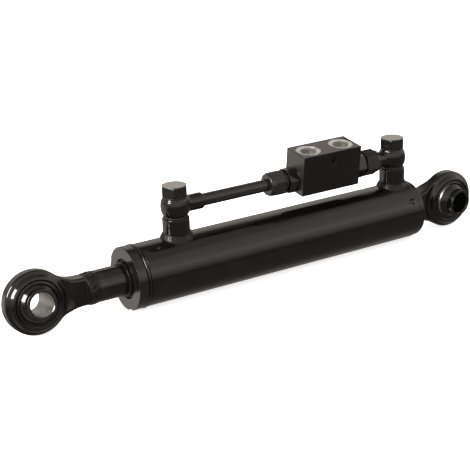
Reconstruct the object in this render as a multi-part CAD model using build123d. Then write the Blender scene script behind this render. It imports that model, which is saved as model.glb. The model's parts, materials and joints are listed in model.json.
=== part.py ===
from build123d import *
import math
import os

# Hydraulic top link: a double-acting cylinder with a swaged ball eye at each end, and a
# pilot-operated lock valve piped between its two oil ports. All sizes are in millimetres.
# The origin is the centre of the base-end ball. +X runs along the cylinder axis towards the
# rod end, which is the way the rod extends, and the oil ports stand up along +Z.

# Overall lengths
CLOSED_LENGTH = 555.0            # ball centre to ball centre with the rod home
STROKE = 240.0

# Ball eyes
EYE_RADIUS = 35.0
EYE_CORE = 5.0                   # half width of the cylindrical rim
EYE_HALF_WIDTH = 12.8
EYE_FACE_RADIUS = 28.5           # where the bevelled rim meets the flat side
EYE_SLOPE = 39.4                 # angle of the neck's flanks to the link axis, degrees
SHANK_HALF_HEIGHT = 15.5
SHANK_HALF_WIDTH = 11.0
BALL_RADIUS = 24.5
BALL_GAP = 0.05                  # running clearance of the ball in its socket
BALL_BORE = 12.7                 # radius, for a 1 inch category 2 link pin
BALL_HALF_LENGTH = 25.5
BALL_BOSS = 16.5
BASE_BALL_TURN = (-2.0, 7.0)     # rest attitude of the base ball about X then Z, degrees
ROD_TURN = 6.5                   # rest attitude of the rod about its own axis
ROD_BALL_TURN = (11.8, -3.0)     # rest attitude of the rod-end ball about X then Z

# Barrel
TUBE_RADIUS = 35.0
BORE_RADIUS = 30.0
CAP_START = 60.0
TUBE_START = 67.0
CAP_PLUG_END = 76.0
TUBE_END = 434.5
GLAND_FACE = 450.0
GLAND_RADIUS = 35.4
THREAD_RADIUS = 31.5
THREAD_DEPTH = 23.0
PORT_HOLE = 4.5
DIMPLE_X = 76.2
DIMPLE_ANGLE = 32.0

# Rod and piston
ROD_RADIUS = 17.5
SPIGOT_RADIUS = 12.0
SPIGOT_START = 76.5
PISTON_START = 94.0
PISTON_END = 130.0
PISTON_RADIUS = 29.92
NOSE_RADIUS = 25.0
NOSE_START = PISTON_END + STROKE + 0.3
ROD_WELD_START = 487.0
SHANK_END = 497.4

# Oil ports, banjo fittings and pipe
PORTS_X = (85.0, 383.5)
BOLT_ANGLES = (-8.6, 1.7)         # where a corner of each bolt's hexagon points, degrees from +X
BOSS_RADIUS = 15.1
BOSS_TOP = 56.8
SEAL_THICKNESS = 2.0             # bonded seal under each banjo
BANJO_BOTTOM = BOSS_TOP + SEAL_THICKNESS
BANJO_HEIGHT = 21.0
BANJO_TOP = BANJO_BOTTOM + BANJO_HEIGHT
BANJO_WAIST = 13.6
BANJO_BULGE = 16.2
PIPE_Z = 69.3
PIPE_RADIUS = 7.0
PIPE_BORE = 5.0
SLEEVE_RADIUS = 9.25
SLEEVE_END = 350.0
HEX_FLATS = 27.0                 # across flats of every fitting
HEAD_TOP = 93.6
BSP_HALF = 10.48                 # outer radius of a G 1/2 thread
NUT_THREAD = 11.0                # outer radius of the pipe nuts' M22 thread
NUT_LENGTHS = (21.0, 19.0)       # base side, rod side

# Lock valve block
BLOCK_START = 147.0
BLOCK_END = 227.0
BLOCK_CENTRE = (BLOCK_START + BLOCK_END) / 2
BLOCK_HALF_WIDTH = 18.0
BLOCK_LOW = -15.8                # below and above the pipe axis, square to the block
BLOCK_HIGH = 32.2
BLOCK_TILT = 7.8                 # the block leans about the pipe axis, towards +Y
VALVE_PORT_OFFSET = 22.6         # port centres from the block's middle
SPOTFACE_RADIUS = 14.5
PILOT_BORE = 6.0
SEAT_START = 17.0                # these six are distances from the block's middle
SEAT_END = 20.5
POPPET_TIP = 19.0
POPPET_END = 27.0
CHAMBER_END = 28.5
SPRING_END = 35.0
CHAMBER_RADIUS = 8.0
SEAT_BORE = 4.0
STUD_LENGTH = 11.0

FIT = 0.05                       # radial running clearance
GAP = 0.1                        # clearance of a seated or screwed part

os.makedirs("parts", exist_ok=True)


# ---------------------------------------------------------------- helpers

def turned(*points):
    """A solid of revolution about Z, from (radius, height) corners."""
    outline = Polyline(*[(r, 0, z) for r, z in points], close=True)
    return revolve(make_face(outline), Axis.Z)


def along_x(shape, x=0.0, z=0.0):
    """Lays a shape built about Z on a line parallel to X, its +Z becoming +X."""
    return Pos(x, 0, z) * Rot(0, 90, 0) * shape


def turned_x(*points):
    """A solid of revolution about X, from (x, radius) corners."""
    return along_x(turned(*[(r, x) for x, r in points]))


def drill_x(x0, x1, radius, z=0.0):
    """A round bar from x0 to x1, parallel to X."""
    return Pos((x0 + x1) / 2, 0, z) * Rot(0, 90, 0) * Cylinder(radius, abs(x1 - x0))


def ring_x(x0, x1, inner, outer):
    """A plain ring about X."""
    return turned_x((x0, inner), (x0, outer), (x1, outer), (x1, inner))


def drill_z(x, z0, z1, radius):
    """A round bar from z0 to z1, parallel to Z."""
    return Pos(x, 0, (z0 + z1) / 2) * Cylinder(radius, z1 - z0)


def cord_ring(x, radius, cord):
    """An O-ring about X."""
    return Pos(x, 0, 0) * Rot(0, 90, 0) * Torus(radius, cord)


def hexagon(flats, length, point_angle=0.0):
    """A hexagonal prism standing on z = 0, with a corner at point_angle."""
    return extrude(RegularPolygon(flats / 2, 6, major_radius=False, rotation=point_angle), length)


def chamfered_hexagon(flats, length, point_angle=0.0, top=True, bottom=False):
    """A hexagonal prism with its corners turned off in a 30 degree cone."""
    corner = flats / math.sqrt(3) + 0.2
    face = flats / 2 - 0.4
    drop = (corner - face) * math.tan(math.radians(30))
    low = [(face, 0), (corner, drop)] if bottom else [(corner, 0)]
    high = [(corner, length - drop), (face, length)] if top else [(corner, length)]
    return hexagon(flats, length, point_angle) & turned((0, 0), *low, *high, (0, length))


# ---------------------------------------------------------------- ball eyes

def ball():
    """A link ball about Y: a sphere with a boss each side and a through bore."""
    shoulder = math.sqrt(BALL_RADIUS ** 2 - BALL_BOSS ** 2)
    edge = 0.6
    half = BALL_HALF_LENGTH
    lower = Polyline(
        (BALL_BORE, 0, 1 - half),
        (BALL_BORE + 1, 0, -half),
        (BALL_BOSS - edge, 0, -half),
        (BALL_BOSS, 0, edge - half),
        (BALL_BOSS, 0, -shoulder),
    )
    crown = ThreePointArc((BALL_BOSS, 0, -shoulder), (BALL_RADIUS, 0, 0), (BALL_BOSS, 0, shoulder))
    upper = Polyline(
        (BALL_BOSS, 0, shoulder),
        (BALL_BOSS, 0, half - edge),
        (BALL_BOSS - edge, 0, half),
        (BALL_BORE + 1, 0, half),
        (BALL_BORE, 0, half - 1),
        (BALL_BORE, 0, 1 - half),
    )
    return Rot(90, 0, 0) * revolve(make_face(lower + crown + upper), Axis.Z)


def eye_ring():
    """The bevelled ring of an eye about Y, before its socket is cut."""
    profile = make_face(Polyline(
        (15, -EYE_HALF_WIDTH),
        (EYE_FACE_RADIUS, -EYE_HALF_WIDTH),
        (EYE_RADIUS, -EYE_CORE),
        (EYE_RADIUS, EYE_CORE),
        (EYE_FACE_RADIUS, EYE_HALF_WIDTH),
        (15, EYE_HALF_WIDTH),
        close=True,
    ))
    rims = profile.vertices().filter_by(lambda v: abs(v.X - EYE_RADIUS) < 0.01)
    profile = fillet(rims, 6)
    shoulders = profile.vertices().filter_by(lambda v: abs(v.X - EYE_FACE_RADIUS) < 0.01)
    profile = fillet(shoulders, 4)
    return Rot(90, 0, 0) * revolve(Plane.XZ * profile, Axis.Z)


def eye(shank_length):
    """A forged eye about Y at the origin, with its shank along +X."""
    slope = math.radians(EYE_SLOPE)
    foot = (EYE_RADIUS * math.sin(slope), EYE_RADIUS * math.cos(slope))
    knee = (EYE_RADIUS - SHANK_HALF_HEIGHT * math.cos(slope)) / math.sin(slope)
    upper = [foot, (knee, SHANK_HALF_HEIGHT), (shank_length, SHANK_HALF_HEIGHT)]
    lower = [(x, -z) for x, z in reversed(upper)]
    outline = make_face(Polyline(*upper, *lower, close=True))
    knees = outline.vertices().filter_by(lambda v: abs(v.X - knee) < 0.01)
    outline = fillet(knees, 14)
    web = extrude(Plane.XZ * outline, SHANK_HALF_WIDTH, both=True)
    long_edges = web.edges().filter_by(
        lambda e: abs(abs(e.center().Y) - SHANK_HALF_WIDTH) < 0.01 and abs(e.center().X - foot[0]) > 1
        and abs(e.center().X - shank_length) > 1
    )
    web = fillet(long_edges, 4.5)
    return eye_ring() + web - Sphere(BALL_RADIUS + BALL_GAP)


def fillet_weld(start, leg):
    """A tapering bead round a shank that meets a face at x = start, on the -X side."""
    toe = Rectangle(2 * (SHANK_HALF_HEIGHT + leg), 2 * (SHANK_HALF_WIDTH + leg))
    toe = fillet(toe.vertices(), 4.5 + leg)
    bead = extrude(Plane(origin=(start, 0, 0), x_dir=(0, 0, 1), z_dir=(-1, 0, 0)) * toe, leg, taper=40)
    core = Rectangle(2 * SHANK_HALF_HEIGHT, 2 * SHANK_HALF_WIDTH)
    core = fillet(core.vertices(), 4.5)
    plane = Plane(origin=(start, 0, 0), x_dir=(0, 0, 1), z_dir=(-1, 0, 0))
    return bead - extrude(plane * core, leg + 5)


# ---------------------------------------------------------------- barrel

def port_axis_bar(radius):
    """Both ports' drillings through the upper wall of the tube."""
    return Part() + [drill_z(x, BORE_RADIUS - 5, BOSS_TOP + 1, radius) for x in PORTS_X]


def barrel_tube():
    bevel = 1.2
    tube = turned_x(
        (TUBE_START, BORE_RADIUS),
        (TUBE_START, TUBE_RADIUS - bevel),
        (TUBE_START + bevel, TUBE_RADIUS),
        (TUBE_END - 0.5, TUBE_RADIUS),
        (TUBE_END, TUBE_RADIUS - 0.5),
        (TUBE_END, THREAD_RADIUS),
        (TUBE_END - THREAD_DEPTH, THREAD_RADIUS),
        (TUBE_END - THREAD_DEPTH - 1.5, BORE_RADIUS),
    )
    angle = math.radians(DIMPLE_ANGLE)
    reach = TUBE_RADIUS + 1.4
    dimple = Pos(DIMPLE_X, reach * math.cos(angle), reach * math.sin(angle)) * Sphere(2.8)
    return tube - port_axis_bar(PORT_HOLE) - dimple


def base_cap():
    return turned_x(
        (CAP_START, 0),
        (CAP_START, 32.5),
        (CAP_START + 1.5, 34.0),
        (TUBE_START - 0.8, 34.0),
        (TUBE_START, 33.2),
        (TUBE_START, BORE_RADIUS - FIT),
        (CAP_PLUG_END - 1, BORE_RADIUS - FIT),
        (CAP_PLUG_END, BORE_RADIUS - 1),
        (CAP_PLUG_END, 0),
    )


def cap_weld():
    """The bead in the groove between cap and tube."""
    return turned_x(
        (TUBE_START - 0.8, 34.0),
        (TUBE_START, 34.3),
        (TUBE_START + 0.5, TUBE_RADIUS - 0.7),
        (TUBE_START, TUBE_RADIUS - 1.2),
        (TUBE_START, 33.2),
    )


def port_boss(x):
    chamfer = 0.8
    post = turned(
        (0, BORE_RADIUS),
        (BOSS_RADIUS, BORE_RADIUS - 5),
        (BOSS_RADIUS, BOSS_TOP - chamfer),
        (BOSS_RADIUS - chamfer, BOSS_TOP),
        (0, BOSS_TOP),
    )
    thread = turned((0, 38.5), (BSP_HALF, 41), (BSP_HALF, BOSS_TOP - 1), (BSP_HALF + 1, BOSS_TOP), (0, BOSS_TOP))
    return Pos(x, 0, 0) * (post - thread) - drill_x(x - 30, x + 30, TUBE_RADIUS) - drill_z(x, 20, 50, PORT_HOLE)


def boss_weld(x):
    """The flared bead where a port boss meets the tube."""
    flare = turned(
        (BOSS_RADIUS, 22),
        (BOSS_RADIUS, 40.6),
        (BOSS_RADIUS + 0.9, 40.2),
        (BOSS_RADIUS + 4.2, 35.4),
        (BOSS_RADIUS + 4.9, 29.0),
        (BOSS_RADIUS + 4.9, 22),
    )
    return Pos(x, 0, 0) * flare - drill_x(x - 40, x + 40, TUBE_RADIUS)


# ---------------------------------------------------------------- gland and its seals

GLAND_BODY = (392.0, 411.5)
NOSE_GROOVE = (374.0, 384.0)     # rod guide strip
REAR_GROOVE = (404.0, 414.0)     # second rod guide strip
U_SEAL_GROOVE = (425.0, 434.0)
WIPER_GROOVE = (443.0, GLAND_FACE)
STATIC_GROOVE = (397.0, 402.6)
GUIDE_OUTER = 20.0
U_SEAL_OUTER = 22.5
WIPER_OUTER = 21.6
STATIC_FLOOR = 26.8
SLOT_ANGLES = (-77.0, 43.0, 163.0)


def gland_head():
    head = turned_x(
        (NOSE_START, ROD_RADIUS + FIT),
        (NOSE_START, NOSE_RADIUS - 1),
        (NOSE_START + 1, NOSE_RADIUS),
        (GLAND_BODY[0], NOSE_RADIUS),
        (GLAND_BODY[0], BORE_RADIUS - 1),
        (GLAND_BODY[0] + 1, BORE_RADIUS - FIT),
        (GLAND_BODY[1], BORE_RADIUS - FIT),
        (GLAND_BODY[1] + 1.5, THREAD_RADIUS - FIT),
        (TUBE_END + 4, THREAD_RADIUS - FIT),
        (TUBE_END + 4, GLAND_RADIUS - 0.5),
        (TUBE_END + 4.5, GLAND_RADIUS),
        (GLAND_FACE - 0.8, GLAND_RADIUS),
        (GLAND_FACE, GLAND_RADIUS - 0.8),
        (GLAND_FACE, ROD_RADIUS + FIT),
    )
    inner = ROD_RADIUS - 1
    head -= ring_x(*NOSE_GROOVE, inner, GUIDE_OUTER)
    head -= ring_x(*REAR_GROOVE, inner, GUIDE_OUTER)
    head -= ring_x(*U_SEAL_GROOVE, inner, U_SEAL_OUTER)
    head -= ring_x(WIPER_GROOVE[0], GLAND_FACE + 1, inner, WIPER_OUTER)
    head -= ring_x(*STATIC_GROOVE, STATIC_FLOOR, BORE_RADIUS + 1)
    slot = Pos((TUBE_END + GLAND_FACE) / 2 + 2, GLAND_RADIUS + 1.2, 0) * Box(18, 6, 11)
    for angle in SLOT_ANGLES:
        head -= Rot(angle, 0, 0) * slot
    return head


def gland_ring():
    """The lock ring nipped between the gland flange and the end of the tube."""
    x0 = TUBE_END + 0.4
    x1 = TUBE_END + 3.7
    return turned_x(
        (x0, THREAD_RADIUS + FIT),
        (x0, 35.3),
        (x0 + 0.6, 35.9),
        (x1 - 0.6, 35.9),
        (x1, 35.3),
        (x1, THREAD_RADIUS + FIT),
    )


def rod_guides():
    return [
        ring_x(start + GAP, end - GAP, ROD_RADIUS + FIT, GUIDE_OUTER - FIT)
        for start, end in (NOSE_GROOVE, REAR_GROOVE)
    ]


def rod_seal():
    """A U-cup with its lips towards the oil."""
    x0, x1 = U_SEAL_GROOVE[0] + GAP, U_SEAL_GROOVE[1] - GAP
    middle = (ROD_RADIUS + U_SEAL_OUTER) / 2
    return turned_x(
        (x1, ROD_RADIUS + FIT),
        (x1, U_SEAL_OUTER - FIT),
        (x0, U_SEAL_OUTER - FIT),
        (x0, middle + 1.2),
        (x0 + 4, middle),
        (x0, middle - 1.2),
        (x0, ROD_RADIUS + FIT),
    )


def wiper():
    """The scraper ring, whose lip stands out of the gland face round the rod."""
    x0 = WIPER_GROOVE[0] + GAP
    return turned_x(
        (x0, ROD_RADIUS + 1.5),
        (x0, WIPER_OUTER - FIT),
        (GLAND_FACE, WIPER_OUTER - FIT),
        (GLAND_FACE + 1.2, WIPER_OUTER - 1.2),
        (GLAND_FACE + 3.6, ROD_RADIUS + 1.4),
        (GLAND_FACE + 4.2, ROD_RADIUS + 0.5),
        (GLAND_FACE + 3.4, ROD_RADIUS + FIT),
        (x0 + 5, ROD_RADIUS + FIT),
        (x0 + 3.5, ROD_RADIUS + 1.5),
    )


def gland_o_ring():
    cord = (BORE_RADIUS - STATIC_FLOOR) / 2 - 0.02
    return cord_ring(STATIC_GROOVE[0] + 1.8, STATIC_FLOOR + cord + 0.01, cord)


def gland_backup_ring():
    x1 = STATIC_GROOVE[1] - GAP
    return ring_x(x1 - 1.6, x1, STATIC_FLOOR + 0.02, BORE_RADIUS - 0.02)


# ---------------------------------------------------------------- rod and piston

WEAR_GROOVES = ((97.5, 103.5), (120.5, 126.5))
PISTON_GROOVE = (107.5, 116.5)
WEAR_FLOOR = 27.4
SEAL_FLOOR = 24.5
SPIGOT_RING_X = 124.0


def rod():
    return turned_x(
        (SPIGOT_START, 0),
        (SPIGOT_START, SPIGOT_RADIUS - 1.5),
        (SPIGOT_START + 1.5, SPIGOT_RADIUS),
        (PISTON_END, SPIGOT_RADIUS),
        (PISTON_END, ROD_RADIUS - 1),
        (PISTON_END + 1, ROD_RADIUS),
        (ROD_WELD_START, ROD_RADIUS),
        (SHANK_END, 12),
        (SHANK_END, 0),
    )


def rod_weld():
    """The bead that fills the groove between the rod's bevelled end and the eye's shank."""
    bead = turned_x(
        (ROD_WELD_START, ROD_RADIUS),
        (ROD_WELD_START + 1.2, ROD_RADIUS + 0.5),
        (ROD_WELD_START + 5, ROD_RADIUS + 0.9),
        (SHANK_END, ROD_RADIUS + 0.3),
        (SHANK_END + 1.8, ROD_RADIUS - 1.6),
        (SHANK_END + 1.8, 8),
        (SHANK_END, 8),
        (SHANK_END, 12),
    )
    return Rot(ROD_TURN, 0, 0) * bead - rod_eye()


def rod_eye():
    length = CLOSED_LENGTH - SHANK_END
    return Pos(CLOSED_LENGTH, 0, 0) * Rot(ROD_TURN, 0, 0) * Rot(0, 0, 180) * eye(length)


def rod_ball():
    tilt, yaw = ROD_BALL_TURN
    return Pos(CLOSED_LENGTH, 0, 0) * Rot(0, 0, yaw) * Rot(tilt, 0, 0) * ball()


def base_ball():
    tilt, yaw = BASE_BALL_TURN
    return Rot(0, 0, yaw) * Rot(tilt, 0, 0) * ball()


def piston():
    body = turned_x(
        (PISTON_START, SPIGOT_RADIUS + 0.02),
        (PISTON_START, PISTON_RADIUS - 1.5),
        (PISTON_START + 1.5, PISTON_RADIUS),
        (PISTON_END - 1.5, PISTON_RADIUS),
        (PISTON_END, PISTON_RADIUS - 1.5),
        (PISTON_END, SPIGOT_RADIUS + 0.02),
    )
    outer = PISTON_RADIUS + 1
    body -= ring_x(*PISTON_GROOVE, SEAL_FLOOR, outer)
    for groove in WEAR_GROOVES:
        body -= ring_x(*groove, WEAR_FLOOR, outer)
    return body - ring_x(SPIGOT_RING_X - 1.6, SPIGOT_RING_X + 1.6, SPIGOT_RADIUS - 1, SPIGOT_RADIUS + 2)


def piston_nut():
    start = SPIGOT_START + 1.5
    length = PISTON_START - start
    blank = chamfered_hexagon(36, length, top=False, bottom=True)
    return along_x(blank, start) - drill_x(start - 1, PISTON_START + 1, SPIGOT_RADIUS + 0.02)


def piston_o_ring():
    return cord_ring(SPIGOT_RING_X, SPIGOT_RADIUS + 1.0, 0.95)


def piston_seal():
    x0, x1 = PISTON_GROOVE
    return ring_x(x0 + GAP, x1 - GAP, SEAL_FLOOR + GAP, BORE_RADIUS - FIT)


def piston_wear_rings():
    return [ring_x(x0 + GAP, x1 - GAP, WEAR_FLOOR + GAP, BORE_RADIUS - FIT) for x0, x1 in WEAR_GROOVES]


# ---------------------------------------------------------------- banjo fittings and pipe

def banjo_seals():
    """The four bonded seals, under and over each banjo eye."""
    rings = []
    for x in PORTS_X:
        for z, outer in ((BOSS_TOP, 13.4), (BANJO_TOP, 13.2)):
            height = SEAL_THICKNESS if z == BOSS_TOP else 1.4
            rings.append(Pos(x, 0, z) * turned((10.7, 0), (outer, 0), (outer, height), (10.7, height)))
    return rings


def banjo_bolt(x, point_angle):
    head_start = BANJO_TOP + 1.4
    head = Pos(0, 0, head_start) * chamfered_hexagon(
        HEX_FLATS, HEAD_TOP - head_start, point_angle, top=True, bottom=True
    )
    shank = turned(
        (0, 42),
        (BSP_HALF - 1, 42),
        (BSP_HALF - FIT, 43),
        (BSP_HALF - FIT, 61),
        (8.4, 62),
        (8.4, 76.5),
        (BSP_HALF - FIT, 77.5),
        (BSP_HALF - FIT, head_start),
        (0, head_start),
    )
    oilway = drill_z(0, 40, 74, 4)
    cross = Pos(0, 0, PIPE_Z) * (Rot(0, 90, 0) * Cylinder(2.5, 40) + Rot(90, 0, 0) * Cylinder(2.5, 40))
    return Pos(x, 0, 0) * (head + shank - oilway - cross)


def banjo_body():
    """The bulged eye of a banjo, standing on z = BANJO_BOTTOM."""
    lower = Polyline(
        (10.6, 0, 0), (BANJO_WAIST - 0.8, 0, 0), (BANJO_WAIST, 0, 0.8), (BANJO_WAIST, 0, 3.2)
    )
    bulge = ThreePointArc(
        (BANJO_WAIST, 0, 3.2), (BANJO_BULGE, 0, BANJO_HEIGHT / 2), (BANJO_WAIST, 0, BANJO_HEIGHT - 3.2)
    )
    upper = Polyline(
        (BANJO_WAIST, 0, BANJO_HEIGHT - 3.2),
        (BANJO_WAIST, 0, BANJO_HEIGHT - 0.8),
        (BANJO_WAIST - 0.8, 0, BANJO_HEIGHT),
        (10.6, 0, BANJO_HEIGHT),
        (10.6, 0, 0),
    )
    return Pos(0, 0, BANJO_BOTTOM) * revolve(make_face(lower + bulge + upper), Axis.Z)


def banjo_rod():
    """The rod-end banjo, with a brazed sleeve that takes the pipe."""
    x = PORTS_X[1]
    sleeve = along_x(
        turned((0, SLEEVE_END), (SLEEVE_RADIUS - 1.2, SLEEVE_END), (SLEEVE_RADIUS, SLEEVE_END + 1.2),
               (SLEEVE_RADIUS, x - 11), (0, x - 11)), z=PIPE_Z)
    fitting = Pos(x, 0, 0) * banjo_body() + sleeve - drill_z(x, BANJO_BOTTOM - 1, BANJO_TOP + 1, 10.6)
    fitting -= drill_x(SLEEVE_END - 1, SLEEVE_END + 14, PIPE_RADIUS + 0.02, PIPE_Z)
    return fitting - drill_x(SLEEVE_END, x, PIPE_BORE, PIPE_Z)


def banjo_base():
    """The base-end banjo, with a plain tail held by a union nut."""
    x = PORTS_X[0]
    tail_end = BLOCK_START - 13
    collar = drill_x(x + 11, 108.5, SLEEVE_RADIUS, PIPE_Z)
    tail = drill_x(x + 11, tail_end, PIPE_RADIUS, PIPE_Z)
    fitting = Pos(x, 0, 0) * banjo_body() + collar + tail
    fitting -= drill_z(x, BANJO_BOTTOM - 1, BANJO_TOP + 1, 10.6)
    return fitting - drill_x(x, tail_end + 1, PIPE_BORE, PIPE_Z)


def transfer_pipe():
    x0, x1 = BLOCK_END + 13, SLEEVE_END + 14
    return drill_x(x0, x1, PIPE_RADIUS, PIPE_Z) - drill_x(x0 - 1, x1 + 1, PIPE_BORE, PIPE_Z)


def union_nut(far_end, length, way):
    """A pipe nut whose rounded end is at x = far_end; way is +1 if that end faces +X."""
    shoulder = length - 5.5
    hexes = hexagon(HEX_FLATS, length, 18) & turned(
        (0, 0), (14.8, 0), (15.8, 1), (15.8, shoulder), (13.2, shoulder + 1.3), (12.6, length), (0, length))
    collar = turned((0, shoulder), (13.2, shoulder), (13.2, length - 1.2), (12.2, length), (0, length))
    bores = turned((0, 0), (NUT_THREAD, 0), (NUT_THREAD, length - 6), (PIPE_RADIUS + GAP, length - 2),
                   (PIPE_RADIUS + GAP, length), (0, length))
    nut = hexes + collar - bores
    turn = Rot(0, 90, 0) if way > 0 else Rot(0, -90, 0)
    return Pos(far_end - way * length, 0, PIPE_Z) * turn * nut


def adapter(face, way):
    """A male stud coupling screwed into the block at x = face, pointing along way * X."""
    inner = -STUD_LENGTH
    stud = turned((0, inner), (BSP_HALF - 1, inner), (BSP_HALF - FIT, inner + 1), (BSP_HALF - FIT, 1.5), (0, 1.5))
    body = Pos(0, 0, 1.5) * chamfered_hexagon(HEX_FLATS, 12.5, 8, top=True, bottom=True)
    thread = turned((0, 14), (NUT_THREAD - 1.4, 14), (NUT_THREAD - 1.4, 16), (NUT_THREAD - FIT, 17),
                    (NUT_THREAD - FIT, 29), (NUT_THREAD - 1, 30), (0, 30))
    through = drill_z(0, inner - 1, 31, PIPE_BORE)
    socket = turned((0, 12.9), (PIPE_RADIUS + GAP, 12.9), (PIPE_RADIUS + GAP, 26),
                    (PIPE_RADIUS + 2.4, 30), (0, 30))
    spring_seat = Pos(0, 0, -3) * (Cylinder(PIPE_BORE, 4) - Cylinder(2.5, 4))
    shape = stud + body + thread - through - socket + spring_seat
    turn = Rot(0, 90, 0) if way > 0 else Rot(0, -90, 0)
    return Pos(face, 0, PIPE_Z) * turn * shape


def cutting_rings():
    """The wedge rings that bite the two tubes inside the union nuts."""
    wedge = turned((PIPE_RADIUS + 0.02, 0), (PIPE_RADIUS + 0.6, 0), (PIPE_RADIUS + 2.1, 4.2),
                   (PIPE_RADIUS + 2.1, 5.5), (PIPE_RADIUS + 0.6, 7), (PIPE_RADIUS + 0.02, 7))
    rod_side = Pos(BLOCK_END + 27.5, 0, PIPE_Z) * Rot(0, 90, 0) * wedge
    base_side = Pos(BLOCK_START - 27.5, 0, PIPE_Z) * Rot(0, -90, 0) * wedge
    return [rod_side, base_side]


def stud_seals():
    """The bonded seals under the two stud couplings."""
    ring = turned((10.6, 0), (13.8, 0), (13.8, 1.4), (10.6, 1.4))
    return [
        Pos(BLOCK_END, 0, PIPE_Z) * Rot(0, 90, 0) * ring,
        Pos(BLOCK_START, 0, PIPE_Z) * Rot(0, -90, 0) * ring,
    ]


# ---------------------------------------------------------------- lock valve

def on_block(shape):
    """Places a shape built about the block's middle, on the pipe axis, and leans it."""
    return Pos(BLOCK_CENTRE, 0, PIPE_Z) * Rot(-BLOCK_TILT, 0, 0) * shape


def valve_block():
    half = (BLOCK_END - BLOCK_START) / 2
    height = BLOCK_HIGH - BLOCK_LOW
    block = Pos(0, 0, (BLOCK_HIGH + BLOCK_LOW) / 2) * Box(2 * half, 2 * BLOCK_HALF_WIDTH, height)
    block = chamfer(block.edges(), 0.6)
    block -= drill_x(-CHAMBER_END, CHAMBER_END, CHAMBER_RADIUS)
    for side in (-1, 1):
        port = turned((0, 12), (5, 14.4), (BSP_HALF, 16), (BSP_HALF, BLOCK_HIGH - 1.2),
                      (BSP_HALF + 1.0, BLOCK_HIGH - 0.3), (SPOTFACE_RADIUS, BLOCK_HIGH - 0.3),
                      (SPOTFACE_RADIUS, BLOCK_HIGH + 1), (0, BLOCK_HIGH + 1))
        block -= Pos(side * VALVE_PORT_OFFSET, 0, 0) * port
        block -= drill_x(side * CHAMBER_END, side * (half + 1), BSP_HALF)
        oilway = Rot(0, side * 41, 0) * Cylinder(1.3, 18.6)
        block -= Pos(side * 17.4, 0, 10.5) * oilway
    block -= Pos(-1.2, 0, 22.5) * Rot(90, 0, 0) * Cylinder(2.6, 80) & Pos(0, 30, 0) * Box(80, 50, 80)
    block += ring_x(-SEAT_START, SEAT_START, PILOT_BORE, CHAMBER_RADIUS)
    return on_block(block)


def valve_seat(side):
    start, end = side * (SEAT_START + 0.02), side * SEAT_END
    return on_block(ring_x(start, end, SEAT_BORE, CHAMBER_RADIUS - 0.02))


def check_poppet(side):
    """A cone poppet guided in its chamber, with three flats that let the oil past."""
    guide = CHAMBER_RADIUS - FIT
    body = turned((0, POPPET_TIP), (1.6, POPPET_TIP), (SEAT_BORE - 0.03, SEAT_END), (guide, SEAT_END + 2.2),
                  (guide, POPPET_END), (2.4, POPPET_END), (2.4, POPPET_END + 2), (0, POPPET_END + 2))
    for angle in (0, 120, 240):
        body -= Rot(0, 0, angle) * Pos(12, 0, SEAT_END + 4) * Box(12, 20, 14)
    return on_block((Rot(0, 90, 0) if side > 0 else Rot(0, -90, 0)) * body)


def check_spring(side):
    wire = 0.45
    radius = 3.2
    start = POPPET_END + wire + 0.05
    height = SPRING_END - wire - 0.05 - start
    path = Helix(pitch=height / 4, height=height, radius=radius)
    section = Plane(origin=path @ 0, z_dir=path % 0) * Circle(wire)
    coil = Pos(0, 0, start) * sweep(section, path)
    return on_block((Rot(0, 90, 0) if side > 0 else Rot(0, -90, 0)) * coil)


def pilot_piston():
    land = PILOT_BORE - FIT
    pin = POPPET_TIP - 2.2
    body = turned((0, -pin), (1.5, -pin), (1.5, -8), (land, -8), (land, -1), (4.4, -1), (4.4, 1),
                  (land, 1), (land, 8), (1.5, 8), (1.5, pin), (0, pin))
    return on_block(Rot(0, 90, 0) * body)


def pilot_o_ring():
    return on_block(Rot(0, 90, 0) * Torus(5.2, 0.74))


def gallery_plug():
    """The expander plug that closes the cross drilling in the block's long side."""
    plug = Rot(90, 0, 0) * Cylinder(2.58, 5)
    return on_block(Pos(-1.2, BLOCK_HALF_WIDTH - 3.6, 22.5) * plug)


# ---------------------------------------------------------------- all the sub-parts

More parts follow.
